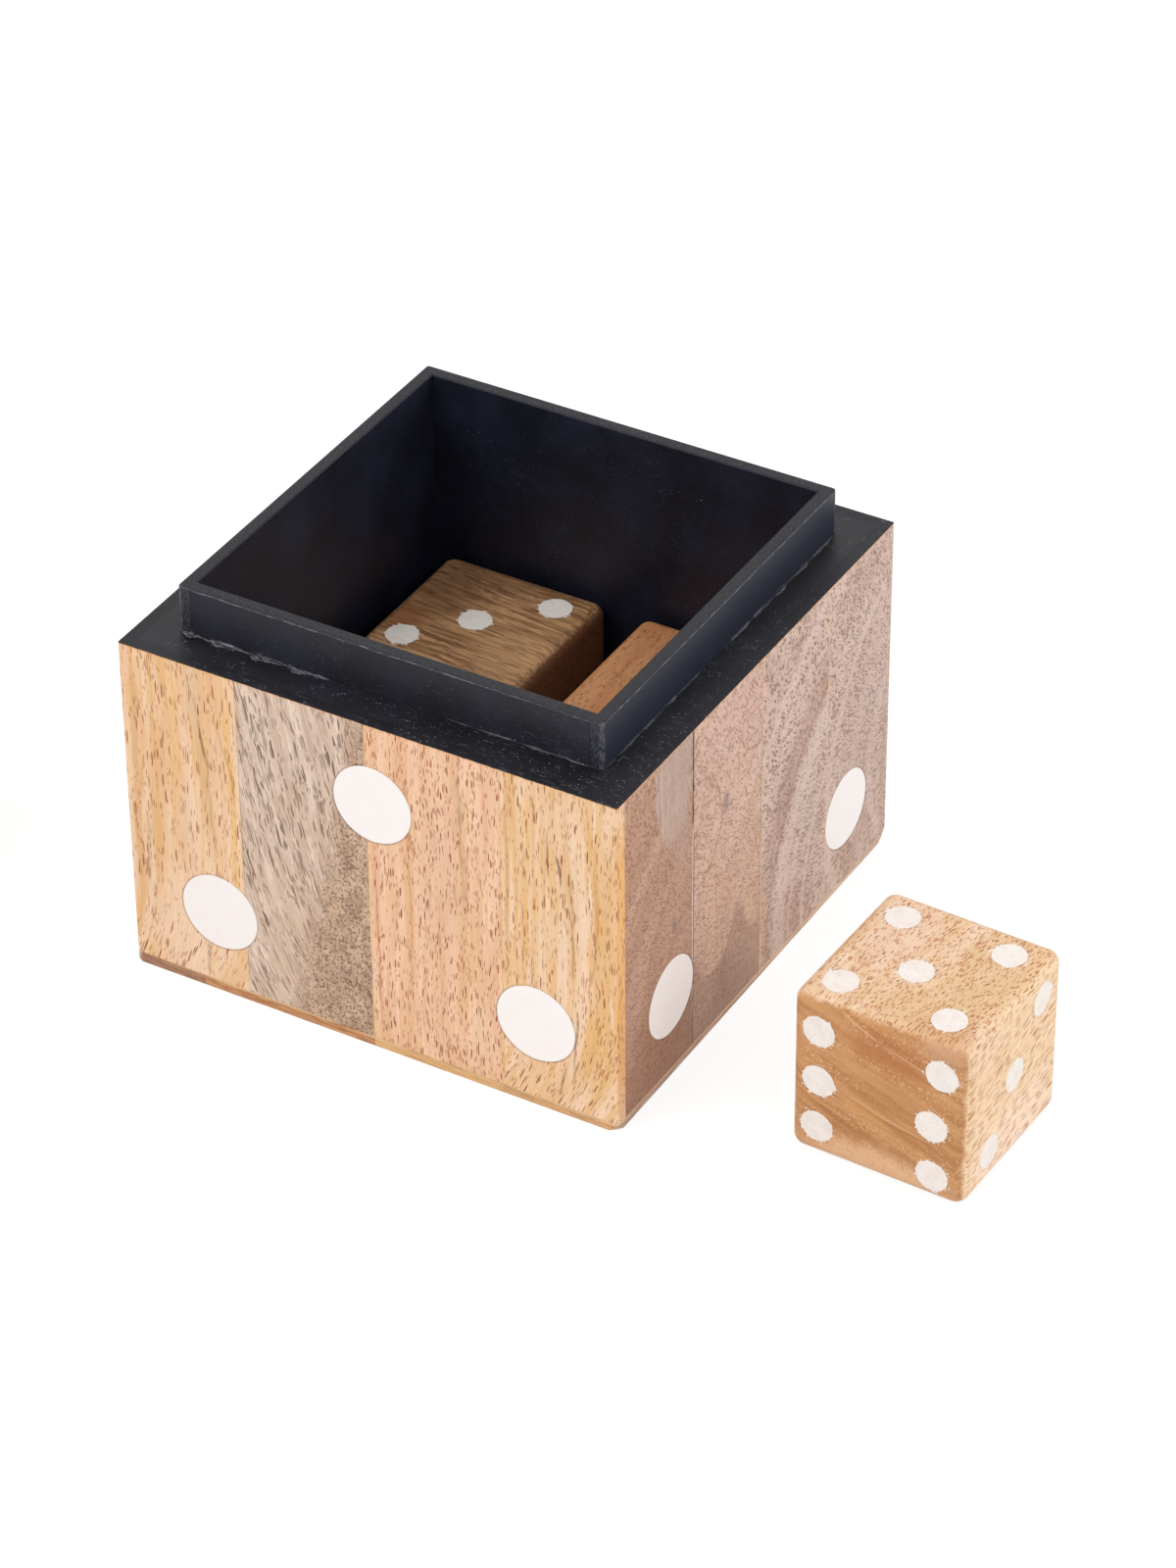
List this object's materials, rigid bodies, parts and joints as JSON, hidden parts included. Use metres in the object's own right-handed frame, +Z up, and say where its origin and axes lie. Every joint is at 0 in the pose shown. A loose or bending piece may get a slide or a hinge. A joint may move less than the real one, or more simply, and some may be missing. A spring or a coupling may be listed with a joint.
{
  "type": "wooden dice box",
  "caption": "Cube-shaped wooden box with inlaid pips, a raised black lip and a lift-off lid set down beside it, holding loose wooden dice.",
  "frame": {"origin": "middle of the open box's flat bottom face", "axes": "+Z up; -Y is the wall with the five, +X the wall with the four; the lid lies on the table towards -X and -Y, one die towards +X"},
  "size_m": [0.3717, 0.223, 0.0955],
  "materials": {
    "black_board": "thin matt black paint over wood",
    "filler_pip": "chalky off-white filler, sanded flush",
    "resin_disc": "smooth off-white resin, sanded flush",
    "wood_brown": "sanded and clear-sealed",
    "wood_greybrown": "sanded and clear-sealed",
    "wood_orange": "sanded and clear-sealed",
    "wood_pink": "sanded and clear-sealed",
    "wood_tan": "sanded and clear-sealed",
    "wood_walnut": "sanded and clear-sealed",
    "wood_yellow": "sanded and clear-sealed"
  },
  "bodies": {
    "box": {"box_base_strip_1": "wood_brown", "box_base_strip_2": "wood_orange", "box_base_strip_3": "wood_tan", "box_base_strip_4": "wood_tan", "box_core_back": "black_board", "box_core_front": "black_board", "box_core_left": "black_board", "box_core_right": "black_board", "box_discs_back": "resin_disc", "box_discs_front": "resin_disc", "box_discs_left": "resin_disc", "box_discs_right": "resin_disc", "box_floor": "black_board", "box_liner_back": "black_board", "box_liner_front": "black_board", "box_liner_left": "black_board", "box_liner_right": "black_board", "box_slat_back_1": "wood_pink", "box_slat_back_2": "wood_tan", "box_slat_back_3": "wood_walnut", "box_slat_back_4": "wood_yellow", "box_slat_front_1": "wood_yellow", "box_slat_front_2": "wood_greybrown", "box_slat_front_3": "wood_pink", "box_slat_front_4": "wood_yellow", "box_slat_left_1": "wood_tan", "box_slat_left_2": "wood_pink", "box_slat_left_3": "wood_yellow", "box_slat_left_4": "wood_greybrown", "box_slat_right_1": "wood_walnut", "box_slat_right_2": "wood_walnut", "box_slat_right_3": "wood_walnut", "box_slat_right_4": "wood_walnut"},
    "lid": {"lid_core_back": "black_board", "lid_core_front": "black_board", "lid_core_left": "black_board", "lid_core_right": "black_board", "lid_discs_back": "resin_disc", "lid_discs_front": "resin_disc", "lid_discs_left": "resin_disc", "lid_discs_right": "resin_disc", "lid_discs_top": "resin_disc", "lid_panel": "black_board", "lid_slats_back": "wood_pink", "lid_slats_front": "wood_yellow", "lid_slats_left": "wood_tan", "lid_slats_right": "wood_walnut", "lid_top_strip_1": "wood_tan", "lid_top_strip_2": "wood_walnut", "lid_top_strip_3": "wood_yellow", "lid_top_strip_4": "wood_greybrown"},
    "die_striped": {"die_striped_body": "wood_brown", "die_striped_pips": "filler_pip"},
    "die_orange": {"die_orange_body": "wood_orange", "die_orange_pips": "filler_pip"},
    "die_tan": {"die_tan_body": "wood_tan", "die_tan_pips": "filler_pip"}
  },
  "joints": [
    {"name": "lid_lift", "type": "slide", "parent": "box", "child": "lid", "axis": [0, 0, 1], "range_m": [0, 0.1]},
    {"name": "die_striped_lift", "type": "slide", "parent": "box", "child": "die_striped", "axis": [0, 0, 1], "range_m": [0, 0.1]},
    {"name": "die_orange_lift", "type": "slide", "parent": "box", "child": "die_orange", "axis": [0, 0, 1], "range_m": [0, 0.1]},
    {"name": "die_tan_lift", "type": "slide", "parent": "box", "child": "die_tan", "axis": [0, 0, 1], "range_m": [0, 0.1]}
  ]
}
